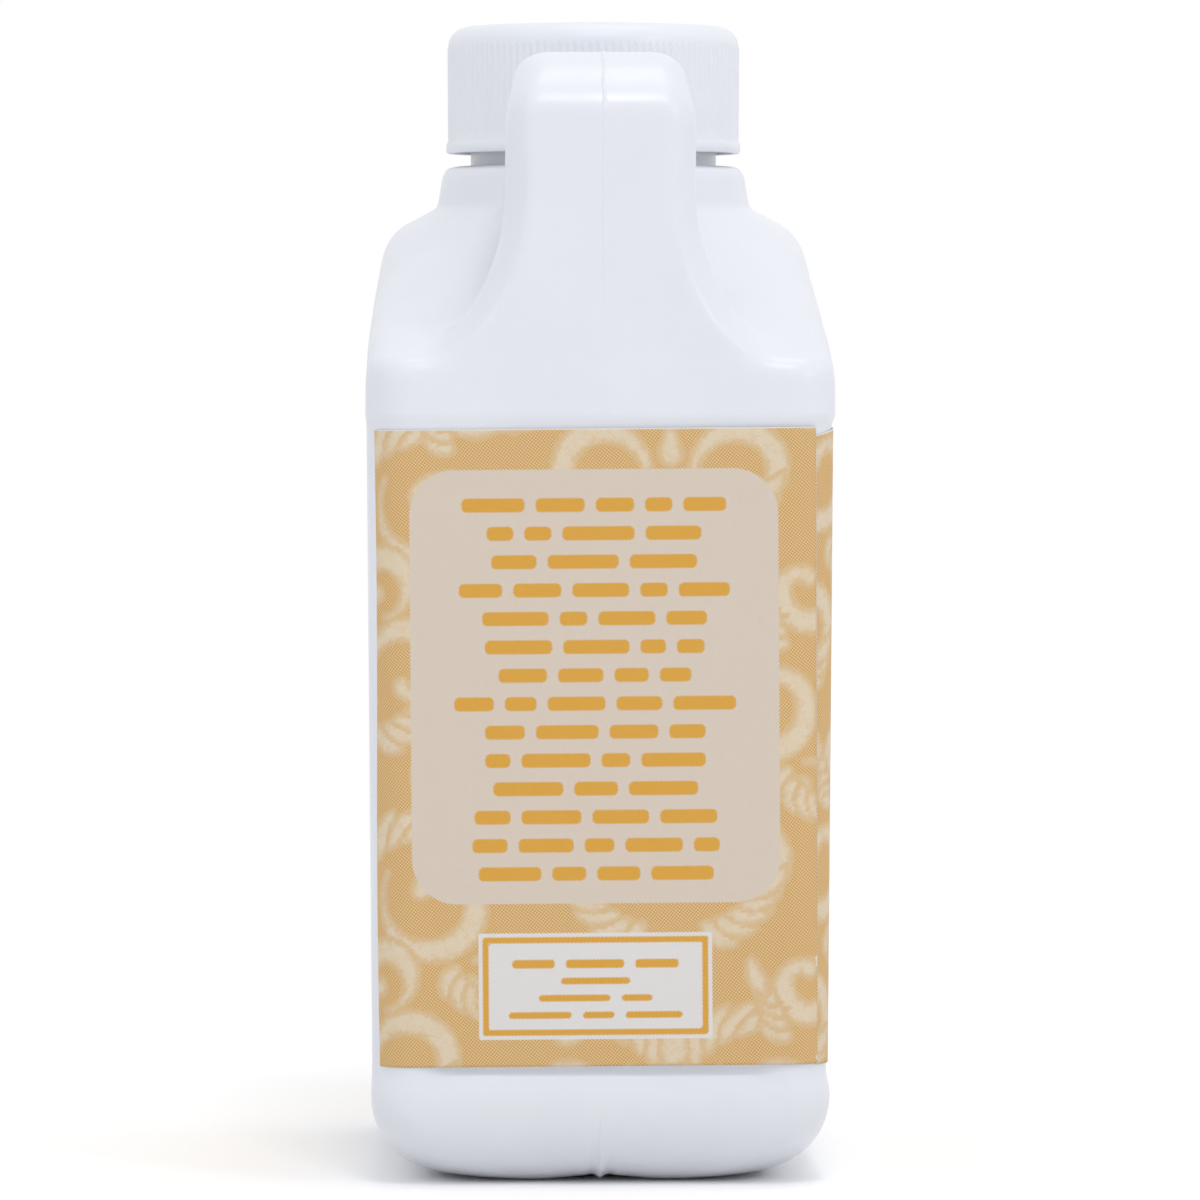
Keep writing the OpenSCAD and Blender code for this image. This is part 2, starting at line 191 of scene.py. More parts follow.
# Bottle: the lower body and the label panel are a plain loft, and the shoulder grows into the handle
shell = {
    "width": bottleHigh.x - bottleLow.x, "footWidth": 61.1, "depth": bottleHigh.y - bottleLow.y,
    "wall": 0.9, "corner": 6, "baseRound": 12, "footCorner": 14, "footBand": 3,
    "pushUp": 1.8, "pushUpSlope": 10,
    "panelLow": 15.9, "panelHigh": 102.5, "panelDepth": 0.5, "panelRamp": 1.4,
    "grooveDepth": 0.7, "grooveHeight": 3.1, "grooveHalf": 0.4, "grooveRunOut": 1,
    "collarFoot": 130.5, "collarTop": 136.2, "shoulder": 25.7,
    "collar": 21, "collarDraft": 0.65, "collarEdge": 1.8,
    "post": 0.35, "postTurn": [46, 62], "postReach": [0.4, 2.4], "buried": [94, 104],
}
weld = {
    "hollowHalf": 9, "hollowDepth": 0.6, "hollowFade": 3, "height": 7.4, "out": 0.45,
    "half": 0.75, "taper": 1.25, "groove": 0.12, "grooveAt": 1.3, "grooveHalf": 0.5,
}
# Stations down the shoulder: share of its height, share of the way out to the sides and front,
# share of the way out to the rear, and how round the section is
stations = np.array([
    [0, 0, 0, 1], [0.06, 0.30, 0.025, 0.94], [0.10, 0.50, 0.045, 0.88], [0.14, 0.62, 0.065, 0.82],
    [0.20, 0.73, 0.105, 0.75], [0.28, 0.80, 0.17, 0.66], [0.40, 0.86, 0.29, 0.54], [0.52, 0.91, 0.45, 0.42],
    [0.64, 0.95, 0.65, 0.29], [0.73, 0.975, 0.83, 0.17], [0.79, 0.985, 0.94, 0.08], [0.84, 0.99, 1, 0],
    [1, 1, 1, 0],
])
rearY = -shell["depth"] / 2
frontY = shell["depth"] / 2


def halfWidth(z):  # the panel narrows evenly towards its foot
    share = np.clip((z - shell["panelLow"]) / (shell["panelHigh"] - shell["panelLow"]), 0, 1)
    return mix(shell["footWidth"], shell["width"], share) / 2


def quarter(centreX, centreY, radius, start, steps):
    angles = np.radians(start + 90 * np.arange(steps + 1) / steps)
    return np.stack([centreX + radius * np.cos(angles), centreY + radius * np.sin(angles)], 1)


def straight(a, b, shares):
    return np.array([mix(np.array(a), np.array(b), t) for t in shares])


sideShares = np.linspace(0, 1, 28)[1:-1]
spread = np.linspace(-1, 1, 61)[1:-1]
endShares = 0.5 + 0.5 * np.sign(spread) * np.abs(spread) ** 2.2  # crowded where the weld runs


def roundedSection(hx, hy, r, steps=10):
    return np.concatenate([
        quarter(hx - r, r - hy, r, -90, steps), straight((hx, r - hy), (hx, hy - r), sideShares),
        quarter(hx - r, hy - r, r, 0, steps), straight((hx - r, hy), (r - hx, hy), endShares),
        quarter(r - hx, hy - r, r, 90, steps), straight((-hx, hy - r), (-hx, r - hy), sideShares),
        quarter(r - hx, r - hy, r, 180, steps), straight((r - hx, -hy), (hx - r, -hy), endShares),
    ])


fullSection = roundedSection(shell["width"] / 2, shell["depth"] / 2, shell["corner"])
fullAngles = np.arctan2(fullSection[:, 1] / shell["depth"], fullSection[:, 0] / shell["width"])


def section(hx, hy, r, roundness):  # rounded rectangle that turns into an ellipse as roundness goes to 1
    flat = roundedSection(hx, hy, min(r, hx, hy))
    if roundness <= 0:
        return flat
    power = 2 + 11 * (1 - roundness) ** 2.5
    cosine, sine = np.cos(fullAngles), np.sin(fullAngles)
    reach = (np.abs(cosine) ** power + np.abs(sine) ** power) ** (-1 / power)
    bent = np.stack([reach * hx * cosine, reach * hy * sine], 1)
    return mix(flat, bent, float(ease(0, 0.12, roundness)))


def ringAt(z, hx, front, rear, r, roundness=0, inset=0, slope=90, welded=0, dent=0, post=0):
    middle, hy = (front + rear) / 2, (front - rear) / 2 - inset
    innerR = max(r - inset, 1)
    points = section(hx - inset, hy, innerR, roundness)
    if post:  # the left rear corner stays fuller beside the label
        beyond = [innerR - hx + inset, innerR - hy] - points
        arm = np.maximum(beyond, 0)
        full = ease(*shell["postTurn"], np.degrees(np.arctan2(arm[:, 0], arm[:, 1] + 1e-6)))
        full = full * (1 - ease(*shell["postReach"], -beyond[:, 1]))
        points = points - post * (full / np.maximum(np.hypot(*arm.T), 0.1))[:, None] * arm
    x, y = points[:, 0], points[:, 1]
    atEnd = (np.abs(y) > hy - 1) & (np.abs(x) < weld["hollowHalf"])
    hollow = weld["hollowDepth"] * (1 + np.cos(math.pi * x / weld["hollowHalf"])) / 2
    lift = np.where(atEnd, hollow * np.clip(1 - z / weld["hollowFade"], 0, 1), 0)
    fade = float(np.clip(weld["taper"] - z / weld["height"], 0, 1))
    half = weld["half"] * max(fade, 0.1)
    ridge = weld["out"] * np.clip(1 - np.abs(x) / half, 0, 1) * fade ** 0.6
    beside = weld["groove"] * np.exp(-((np.abs(x) - weld["grooveAt"]) / weld["grooveHalf"]) ** 2) * fade
    sunk = dent * ease(hx - r, hx - r - 5, np.abs(x)) * (np.abs(y) > hy - 0.01)
    out = np.where(atEnd, welded * (ridge - beside), 0) - sunk
    tilt = math.radians(slope)
    return np.stack([x, middle + y + np.sign(y) * out * math.sin(tilt), z + lift - out * math.cos(tilt)], 1)


def footRing(inset, z, slope, welded):
    r = mix(shell["corner"], shell["footCorner"], min(inset / shell["baseRound"], 1)) + inset
    return ringAt(z, float(halfWidth(0)), frontY, rearY, r, 0, inset, slope, welded)


def lowerRings():
    bend = shell["baseRound"]
    stand = bend + shell["footBand"]
    rings = []
    for share in np.linspace(1, 0, 9):  # push-up, from its flat middle out to the standing ring
        rings.append(footRing(stand + shell["pushUpSlope"] * share, shell["pushUp"] * ease(0, 1, share), 0,
                              1 - share))
    rings.append(footRing(bend + shell["footBand"] / 2, 0, 0, 1))
    for angle in np.linspace(0, 90, 19):
        turn = math.radians(angle)
        rings.append(footRing(bend * (1 - math.sin(turn)), bend * (1 - math.cos(turn)), angle, 1))
    low, high, depth = shell["panelLow"], shell["panelHigh"], shell["panelDepth"]
    reach = shell["grooveHeight"] - shell["grooveHalf"]
    walls = []  # height, inset, and depth of the groove: a cove that faces down more and more as it rises
    for t in np.linspace(0.1, 1, 10):
        walls.append([low - shell["grooveHeight"] + reach * t, depth * float(ease(-0.3, 1, t)),
                      shell["grooveDepth"] * t * t])
    for t in np.linspace(0, 1, 5):
        walls.append([low + shell["grooveHalf"] + shell["grooveRunOut"] * t, depth,
                      shell["grooveDepth"] * (1 - float(ease(0, 1, t)))])
    walls += [[z, depth, 0] for z in np.linspace(low + 3, high - shell["panelRamp"] - 2, 24)]
    walls += [[mix(high - shell["panelRamp"] - 0.3, high + 0.15, t), depth * (1 - float(ease(0, 1, t))), 0]
              for t in np.linspace(0, 1, 7)]
    rings += [ringAt(z, float(halfWidth(z)), frontY, rearY, shell["corner"], inset=inset, dent=dent,
                     post=shell["post"] * inset / depth)
              for z, inset, dent in walls]
    return rings


def catmull(table, steps):  # smooth curve through the rows of a table
    padded = np.vstack([2 * table[0] - table[1], table, 2 * table[-1] - table[-2]])
    rows = []
    for i in range(1, len(padded) - 2):
        a, b, c, d = padded[i - 1], padded[i], padded[i + 1], padded[i + 2]
        for t in np.linspace(0, 1, steps, endpoint=False):
            rows.append(0.5 * (2 * b + (c - a) * t + (2 * a - 5 * b + 4 * c - d) * t ** 2
                               + (3 * b - a - 3 * c + d) * t ** 3))
    return np.array(rows + [table[-1]])


def upperRings():  # from inside the panel's top up to the collar's rounded edge
    collarFootR = shell["collar"] + shell["collarDraft"]
    rings = [ringAt(z, shell["width"] / 2, frontY, rearY, shell["corner"])
             for z in np.linspace(*shell["buried"], 7)]
    for share, out, rear, roundness in catmull(stations, 5)[::-1]:
        rings.append(ringAt(shell["collarFoot"] - shell["shoulder"] * share,
                            mix(collarFootR, shell["width"] / 2, out), mix(neckY + collarFootR, frontY, out),
                            mix(neckY - collarFootR, rearY, rear), shell["corner"],
                            max(float(roundness), 0)))
    for share in np.linspace(0.15, 0.85, 5):
        r = collarFootR - shell["collarDraft"] * share
        z = mix(shell["collarFoot"], shell["collarTop"] - shell["collarEdge"], share)
        rings.append(ringAt(z, r, neckY + r, neckY - r, r, 1))
    for angle in np.linspace(0, 90, 9):
        turn = math.radians(angle)
        r = shell["collar"] - shell["collarEdge"] * (1 - math.cos(turn))
        z = shell["collarTop"] - shell["collarEdge"] * (1 - math.sin(turn))
        rings.append(ringAt(z, r, neckY + r, neckY - r, r, 1))
    return rings


handle = {
    "halfWidth": 12.6, "thick": 12, "archTop": 150.6, "archThick": 11.5, "archHalf": 11.7,
    "drop": 8.3, "run": 10, "bendPower": 1.6, "fingerBend": 5, "fingerEdge": 4.8,
    "gripEdge": [3.2, 4.2, 1.3], "flareEdge": [6, 6, 1.6], "topEdge": [4.8, 4.8, 2], "buriedEdge": [3, 3, 2],
    "flareLow": 108.8, "flareHeight": 23.7, "flareSink": 0.3, "flareFill": 6,
    "landZ": shell["collarTop"] - 1.8,
    "landY": neckY - (capHigh.x - capLow.x) / 2 - 1.2, "rootZ": shell["collarFoot"] - 5, "buriedY": -5.3,
}


def crossSection(outer, inner, hx, edge):  # of the handle, between its outer and its inner face
    outer, inner = np.array(outer), np.array(inner)
    across = inner - outer
    thick = float(np.hypot(*across))
    across = across / thick
    wide, deep, power = edge
    innerEdge = max(min(handle["fingerEdge"], thick - deep - 0.3), 0.8)
    angles = np.linspace(0, math.pi / 2, 11)
    flank = np.stack([hx - wide * (1 - np.sin(angles) ** (2 / power)),
                      deep * (1 - np.abs(np.cos(angles)) ** (2 / power))], 1)
    flat = np.concatenate([
        flank, quarter(hx - innerEdge, thick - innerEdge, innerEdge, 0, 8),
        quarter(innerEdge - hx, thick - innerEdge, innerEdge, 90, 8), flank[::-1] * [-1, 1],
    ])
    return np.stack([flat[:, 0], outer[0] + across[0] * flat[:, 1], outer[1] + across[1] * flat[:, 1]], 1)


def handleOuter(angle):  # outer face over the rear bend: nearly a straight slope between two tight turns
    turn = 2 / handle["bendPower"]
    return [rearY + handle["run"] - handle["run"] * math.cos(angle) ** turn,
            handle["archTop"] - handle["drop"] + handle["drop"] * math.sin(angle) ** turn]


def handleSlices():
    gripIn = rearY + handle["thick"]
    under = handle["archTop"] - handle["archThick"]
    flareTo = float(halfWidth(shell["panelHigh"])) - 0.4
    slices = []
    for angle in np.linspace(math.pi / 2, 0, 28):
        wide = 1 - math.cos(angle)
        hx = mix(handle["halfWidth"], flareTo, wide)
        z = handle["flareLow"] + handle["flareHeight"] * (1 - math.sin(angle))
        edge = mix(np.array(handle["gripEdge"]), np.array(handle["flareEdge"]), wide)
        slices.append(crossSection([rearY + handle["flareSink"] * math.sin(angle) ** 12, z],
                                   [gripIn + handle["flareFill"] * math.sin(angle) ** 6, z], hx, edge))
    for angle in np.linspace(0.04, math.pi / 2, 24):
        bend = handle["fingerBend"]
        inner = [gripIn + bend - bend * math.cos(angle), under - bend + bend * math.sin(angle)]
        edge = mix(np.array(handle["gripEdge"]), np.array(handle["topEdge"]), math.sin(angle))
        hx = mix(handle["halfWidth"], handle["archHalf"], float(ease(0.3, 1, math.sin(angle))))
        slices.append(crossSection(handleOuter(angle), inner, hx, edge))
    for angle in np.linspace(0.06, math.pi / 2, 24):
        outer = [mix(rearY + handle["run"], handle["landY"], math.sin(angle)),
                 mix(handle["landZ"], handle["archTop"], math.cos(angle))]
        inner = [mix(gripIn + handle["fingerBend"], handle["landY"] - 2, math.sin(angle)),
                 mix(handle["rootZ"], under, math.cos(angle))]
        hx = mix(handle["archHalf"], handle["halfWidth"], float(ease(0.4, 1, math.sin(angle))))
        slices.append(crossSection(outer, inner, hx, handle["topEdge"]))
    slices.append(crossSection([handle["buriedY"], handle["landZ"] - 1.5],
                               [handle["buriedY"], handle["rootZ"] - 1.5],
                               handle["halfWidth"] - 1, handle["buriedEdge"]))
    return slices


blend = {"voxel": 0.7, "reach": 1.8, "passes": 16, "overall": 2, "cutAt": shell["panelHigh"] + 0.5}


def upperShell():  # shoulder and handle, remeshed as one skin and melted together along their crease
    trees = []
    both = bmesh.new()
    for rings in (upperRings(), handleSlices()):
        mesh = toMesh(loft(rings, True, True), "source")
        part = bmesh.new()
        part.from_mesh(mesh)
        trees.append(BVHTree.FromBMesh(part))
        part.free()
        both.from_mesh(mesh)
    source = toObject(toMesh(both, "source"), "source")
    remesh = source.modifiers.new("skin", "REMESH")
    remesh.mode = "VOXEL"
    remesh.voxel_size = blend["voxel"] * mm
    bm = bmesh.new()
    bm.from_mesh(applied(source))
    creaseVerts = {}
    for vert in bm.verts:
        found = [tree.find_nearest(vert.co) for tree in trees]
        spots = sorted(found, key=lambda f: f[3])
        vert.co = spots[0][0]
        creaseVerts[vert] = spots[1][3] / mm
    near = [v for v, far in creaseVerts.items() if far < blend["reach"]]
    nearest = [v for v, far in creaseVerts.items() if far < blend["reach"] / 2]
    rounds = [nearest if step % 2 else near for step in range(blend["passes"])]
    for verts in rounds + [bm.verts[:]] * blend["overall"]:
        bmesh.ops.smooth_vert(bm, verts=verts, factor=0.5, use_axis_x=True, use_axis_y=True, use_axis_z=True)
    bmesh.ops.bisect_plane(bm, geom=bm.verts[:] + bm.edges[:] + bm.faces[:], clear_inner=True,
                           plane_co=(0, 0, blend["cutAt"] * mm), plane_no=(0, 0, 1))
    neckR = neckShape["outside"] - neckShape["wall"] / 2
    inNeck = [f for f in bm.faces if f.calc_center_median().z > (shell["collarTop"] - 0.6) * mm
              and math.hypot(f.calc_center_median().x, f.calc_center_median().y - neckY * mm) < neckR * mm]
    bmesh.ops.delete(bm, geom=inNeck, context="FACES")
    return toMesh(bm, "upper")


neckShape = {"outside": 17, "wall": 1.7, "lip": 0.5}
neckThread = {"root": 17, "rise": 1.5, "foot": 1.25, "crest": 0.5, "pitch": 4.233, "turns": 1.6, "low": 142,
              "start": 20, "fade": 0.09}
flash = {"half": 0.35, "crest": 0.08, "foot": 0.1, "out": 0.13, "waver": 0.14, "x": 0.4}


def neckProfile():
    outer, inner, lip = neckShape["outside"], neckShape["outside"] - neckShape["wall"], neckShape["lip"]
    foot = shell["collarTop"] - shell["wall"] - 0.3
    near = lip * 0.3
    return [[inner, foot], [outer, foot], [outer, rimZ - lip], [outer - near, rimZ - near],
            [outer - lip, rimZ], [inner + lip, rimZ], [inner + near, rimZ - near], [inner, rimZ - lip]]


def flashStrip():  # uneven rib of squeezed out plastic where the mould closed over the handle's top
    rings = []
    for share in np.linspace(0, 1, 60):
        angle = math.radians(mix(4, 90, share))
        y, z = handleOuter(angle)
        ahead = handleOuter(angle + 0.01) if share < 1 else handleOuter(angle - 0.01)
        along = np.array([ahead[0] - y, ahead[1] - z]) * (1 if share < 1 else -1)
        out = np.array([-along[1], along[0]]) / np.hypot(*along)
        uneven = 0.75 + 0.4 * math.sin(share * 31) * math.sin(share * 11)
        tall = flash["out"] * float(ease(0, 0.25, share)) * uneven
        x = flash["x"] + flash["waver"] * math.sin(share * 14) * float(ease(0, 0.3, share))
        profile = [(-flash["half"], -flash["foot"]), (-flash["crest"], tall),
                   (flash["crest"], tall), (flash["half"], -flash["foot"])]
        rings.append([(x + dx, y + out[0] * rise, z + out[1] * rise) for dx, rise in profile])
    return loft(rings, True, True)


def makeBottle():
    bm = loft(lowerRings(), True, False)
    bm.from_mesh(upperShell())
    openEdges = [e for e in bm.edges if e.is_boundary
                 and shell["panelHigh"] - 1 < e.verts[0].co.z / mm < blend["cutAt"] + 1]
    bmesh.ops.bridge_loops(bm, edges=openEdges)
    bmesh.ops.recalc_face_normals(bm, faces=bm.faces)
    skin = toObject(toMesh(bm, "bottleSkin"), "bottleSkin")
    hollow = skin.modifiers.new("hollow", "SOLIDIFY")
    hollow.thickness = shell["wall"] * mm
    hollow.offset = -1
    bm = bmesh.new()
    bm.from_mesh(applied(skin))
    for extra in (spun(neckProfile(), 144), thread(neckThread, 1), flashStrip()):
        bm.from_mesh(toMesh(extra, "extra"))
    for vert in bm.verts:  # nothing below the table, or behind the box
        vert.co.y = max(vert.co.y, cadBounds[0][1])
        vert.co.z = max(vert.co.z, 0)
    piece = finished(bm, "bottle_shell", 40)
    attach(piece, "bottle")
    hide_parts("bottle")
    return piece


bottle = makeBottle()
print("bottle made:", len(bottle.data.polygons), "faces")


# Cap with its ribs, and the foam liner in it
capShape = {
    "ribs": 120, "ribWave": [0, 0, 0.6, 1, 1, 0.6], "ribDepth": 0.18, "ribLow": 0.15, "ribFade": 0.5,
    "valley": 20.05, "bore": 18.95, "bead": (capHigh.x - capLow.x) / 2, "beadHeight": 1.4,
    "edge": 2.8, "crown": 0.5, "topThick": 1.5, "lip": 0.25,
}
capThread = {"root": 18.95, "rise": 1.1, "foot": 1.1, "crest": 0.4, "pitch": 4.233, "turns": 1.4,
             "low": neckThread["low"] - 2.117 + 4.233 * 0.1, "start": neckThread["start"] + 36, "fade": 0.09}


def capRings():
    skirt, top, edge, lip = capLow.z, capHigh.z, capShape["edge"], capShape["lip"]
    ceiling = top - capShape["topThick"]
    bore, bead, beadTop = capShape["bore"], capShape["bead"], skirt + capShape["beadHeight"]
    body = capShape["valley"] + capShape["ribDepth"] / 2
    rim = top - capShape["crown"]
    ribTop = rim - edge
    rows = [[1, ceiling, 0], [8, ceiling, 0], [bore - 0.5, ceiling, 0], [bore, ceiling - 0.5, 0]]
    rows += [[bore, z, 0] for z in np.linspace(ceiling - 1.5, skirt + 0.8, 5)]
    rows += [[bore + 0.25, skirt + 0.1, 0], [bore + 0.5, skirt, 0], [bead - lip, skirt, 0],
             [bead, skirt + lip, 0], [bead, beadTop - lip, 0], [body + 0.1, beadTop + 0.1, 0.2],
             [body, beadTop + 0.3, capShape["ribLow"]]]
    rows += [[body, z, mix(capShape["ribLow"], 1, (z - skirt) / (ribTop - skirt))]
             for z in np.linspace(skirt + 3, ribTop - capShape["ribFade"], 6)]
    rows += [[body, ribTop - capShape["ribFade"] * 0.4, 0.75], [body, ribTop, 0.15]]
    for angle in np.linspace(8, 90, 11):
        turn = math.radians(angle)
        rows.append([body - edge * (1 - math.cos(turn)), rim - edge * (1 - math.sin(turn)), 0])
    rows += [[(body - edge) * t, top - capShape["crown"] * t * t, 0] for t in (0.85, 0.65, 0.45, 0.25, 0.06)]
    wave = np.tile(capShape["ribWave"], capShape["ribs"]) - 0.5
    angles = math.tau * np.arange(len(wave)) / len(wave)
    rings = []
    for r, z, ribbed in rows:
        reach = r + wave * capShape["ribDepth"] * ribbed
        rings.append(np.stack([reach * np.cos(angles), neckY + reach * np.sin(angles),
                               np.full(len(wave), z)], 1))
    return rings


def makeCap():
    bm = loft(capRings(), True, True)
    bm.from_mesh(toMesh(thread(capThread, -1), "extra"))
    piece = finished(bm, "screw_cap", 50)
    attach(piece, "cap")
    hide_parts("cap")
    return piece


def makeLiner():
    r, low, high, lip = (linerHigh.x - linerLow.x) / 2, linerLow.z, linerHigh.z, 0.12
    bm = bmesh.new()
    bmesh.ops.create_circle(bm, cap_ends=True, segments=144, radius=(r - lip) * mm)
    bmesh.ops.translate(bm, verts=bm.verts, vec=Vector((0, neckY, low)) * mm)
    made = bmesh.ops.extrude_face_region(bm, geom=bm.faces[:])["geom"]
    topVerts = [v for v in made if isinstance(v, bmesh.types.BMVert)]
    bmesh.ops.translate(bm, verts=topVerts, vec=(0, 0, (high - low) * mm))
    rims = [e for e in bm.edges if abs(e.verts[0].co.z - e.verts[1].co.z) < 1e-7]
    bmesh.ops.bevel(bm, geom=rims, offset=lip * mm, segments=3, profile=0.5, affect="EDGES", material=-1)
    bmesh.ops.recalc_face_normals(bm, faces=bm.faces)
    piece = finished(bm, "foam_liner", 30)
    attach(piece, "liner")
    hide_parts("cap_liner")
    return piece


cap = makeCap()
liner = makeLiner()
print("cap made:", len(cap.data.polygons), "faces")


# Ornament of the labels: scrolls and leaves, as distances in millimetres on the flat paper
scrollwork = {"tileWidth": 44, "tileHeight": 52, "band": 1.9, "bulb": 1.5}


# Distance to a line whose half width changes along it; negative inside
def strokeDistance(points, path, radii):
    best = np.full(len(points), 99.0)
    for i in range(len(path) - 1):
        a, b = path[i], path[i + 1]
        step = b - a
        t = np.clip(((points - a) @ step) / max(step @ step, 1e-9), 0, 1)
        gap = np.hypot(*(points - a - t[:, None] * step).T) - mix(radii[i], radii[i + 1], t)
        best = np.minimum(best, gap)
    return best


def curl(centre, outer, start, turns, hand):  # arc that winds in to a round end
    t = np.linspace(0, 1, 30)
    r = outer * (1 - 0.68 * t ** 1.5)
    angles = math.radians(start) + hand * math.tau * turns * t
    path = np.array(centre) + np.stack([r * np.cos(angles), r * np.sin(angles)], 1)
    radii = scrollwork["band"] * (0.35 + 0.65 * ease(0, 0.4, t)) * (1 - 0.3 * ease(0.5, 0.9, t))
    radii[-2:] = scrollwork["bulb"]
    return path, radii


def lobe(base, angle, length, bend, fat):  # curved teardrop
    t = np.linspace(0, 1, 14)
    turn = math.radians(angle) + math.radians(bend) * t
    steps = np.stack([np.cos(turn), np.sin(turn)], 1) * length / 13
    path = np.array(base) + np.vstack([[0, 0], np.cumsum(steps[1:], 0)])
    return path, fat * np.sin(math.pi * (0.14 + 0.82 * t)) ** 0.8


def spray(base, angle, length, bend, way):  # leaf of five lobes that turn to one side of its stem
    lobes = []
    for share in np.linspace(0, 1, 5):
        turn = math.radians(angle + bend * share / 2)
        at = np.array(base) + np.array([math.cos(turn), math.sin(turn)]) * length * 0.62 * share
        lobes.append(lobe(at, angle + bend * share * 0.6 + way * (62 - 52 * share),
                          length * (0.42 + 0.1 * share), way * -34, 1.75 - 0.25 * share))
    return lobes


def tileStrokes():  # one repeat, symmetrical about x = 0, drawn from back to front
    curls = [((9.6, 9.2), 6.8, 215, 0.95, -1), ((12.6, 31), 7.6, 150, 0.98, 1), ((5, 21), 4.6, 280, 0.92, 1),
             ((17.8, 46), 5.2, 40, 0.9, -1), ((18.4, 19.4), 3.8, 100, 0.85, -1)]
    sprays = [((1.6, 33.5), 62, 14.5, -46, 1), ((4.2, 1.6), 14, 12, 34, -1), ((15, 38.6), 96, 10.5, 40, 1),
              ((15.2, 22), -62, 10, 40, -1)]
    strokes = []
    for side in (1, -1):
        for centre, outer, start, turns, hand in curls:
            path, radii = curl(centre, outer, start, turns, hand)
            strokes.append((path * [side, 1], radii))
        for base, angle, length, bend, way in sprays:
            strokes += [(path * [side, 1], radii) for path, radii in spray(base, angle, length, bend, way)]
    for low, high, lowHalf, highHalf in ((37, 50.5, 2.3, 1), (28.4, 30, 2.6, 2.6), (12, 15.5, 1.9, 0.9)):
        strokes.append((np.array([[0, low], [0, high]]), np.array([lowHalf, highHalf])))
    return strokes


strokes = tileStrokes()


def ornament(points):  # distance to the scrollwork and its tone, for points on the flat paper
    field = np.full(len(points), 99.0)
    tone = np.zeros(len(points))
    wide, tall = scrollwork["tileWidth"], scrollwork["tileHeight"]
    u = (points[:, 0] + wide / 2) % wide - wide / 2
    odd = np.floor((points[:, 0] + wide / 2) / wide) % 2  # every second column is moved by half a tile
    v = (points[:, 1] + odd * tall / 2) % tall
    for column in (-1, 0, 1):
        for row in (-1, 0, 1):
            moved = np.where(odd > 0, -1, 1) * tall / 2 * abs(column)
            local = np.stack([u + column * wide, v + moved + row * tall], 1)
            for path, radii in strokes:
                low, high = path.min(0) - 3, path.max(0) + 3
                inside = ((local > low) & (local < high)).all(1)
                if not inside.any():
                    continue
                gap = strokeDistance(local[inside], path, radii)
                own = 0.2 + 0.8 * ease(0, 1.3, -gap)
                cover = ease(-0.15, 0.15, -gap)
                tone[inside] = mix(tone[inside], own, cover)
                field[inside] = np.minimum(field[inside], gap)
    return field, tone


def boxDistance(points, left, right, low, high, r):  # to a box with rounded corners; negative inside
    middle = np.array([left + right, low + high]) / 2
    gap = np.abs(points - middle) - np.array([right - left, high - low]) / 2 + r
    return np.hypot(*np.maximum(gap, 0).T) + np.minimum(gap.max(1), 0) - r


# Labels: thin paper on the recessed panel
paper = {"thick": 0.12, "glue": 0.1}
backLabel = {
    "width": 60, "low": backLow.z, "height": backHigh.z - backLow.z, "skew": 0.4, "shift": -1.15,
    "bareTop": 0.16, "bareSide": 0.05, "bareSpotsAndHighlight": [[13.9, 0.42], [13.1, 0.32], [0.8, 0.32]],
    "grid": 0.4, "panelLeft": 6.0, "panelRight": 5.3, "panelLow": 21.6, "panelHigh": 79.0, "panelRound": 6,
    "plateLeft": 14.7, "plateRight": 45.6, "plateLow": 3.6, "plateHigh": 17.7, "plateRound": 0.01,
    "border": 0.75, "borderIn": 0.55, "wave": 0.04, "lyingTo": -26, "liftedFrom": 10,
    "lines": 14, "lineStep": 3.75, "lineTop": 74.3, "lineHalf": 0.9, "lineMost": 41, "lineLeast": 0.62,
    "lineRound": 0.6, "smallWidths": [22, 12, 15, 23], "smallTop": 13.6, "smallLow": 6.8, "smallHalf": 0.42,
    "firstSmallHalf": 0.55, "smallRound": 0.35, "seed": 5,
}
wordBar = {"least": 3.2, "most": 9.5, "shortest": 2.4, "gap": 1.5}
wrapLabel = {
    "low": wrapLow.z, "height": wrapHigh.z - wrapLow.z, "start": 27.4, "grid": 0.75, "round": 1.6,
    "bare": 3, "bareTop": 0.2, "drop": 1.5, "dropTo": 8,
}


def panelPoint(s, z, out):  # point on the panel, s along its rear from the middle and on round the corner
    hx = halfWidth(z) - shell["panelDepth"] + out
    hy = shell["depth"] / 2 - shell["panelDepth"] + out
    r = shell["corner"] - shell["panelDepth"] + out
    s, flip = np.abs(s), np.sign(s)
    arcLength = r * math.pi / 2
    lengths = [hx - r, arcLength, 2 * (hy - r), arcLength, 2 * (hx - r), arcLength, 2 * (hy - r)]
    spans = np.array([np.broadcast_to(length, s.shape) for length in lengths])
    ends = np.cumsum(spans, 0)
    starts = ends - spans
    turn = [np.clip((s - starts[i]) / r, 0, math.pi / 2) for i in (1, 3, 5)]
    along = [np.clip(s - starts[i], 0, spans[i]) for i in (0, 2, 4, 6)]
    x = along[0] + r * np.sin(turn[0]) - r * (1 - np.cos(turn[1])) - along[2] - r * np.sin(turn[2])
    y = (-hy + r * (1 - np.cos(turn[0])) + along[1] + r * np.sin(turn[1]) - r * (1 - np.cos(turn[2]))
         - along[3])
    return np.stack([x * np.where(flip == 0, 1, flip), y, z], 1)


def wordBars(rng, width):  # lengths of the bars in a line, with gaps between them
    bars, used = [], 0
    while used < width - 3:
        length = min(rng.uniform(wordBar["least"], wordBar["most"]), width - used)
        if length < wordBar["shortest"]:
            break
        bars.append((used, length))
        used += length + wordBar["gap"]
    return [(start - used / 2 + wordBar["gap"] / 2, length) for start, length in bars]


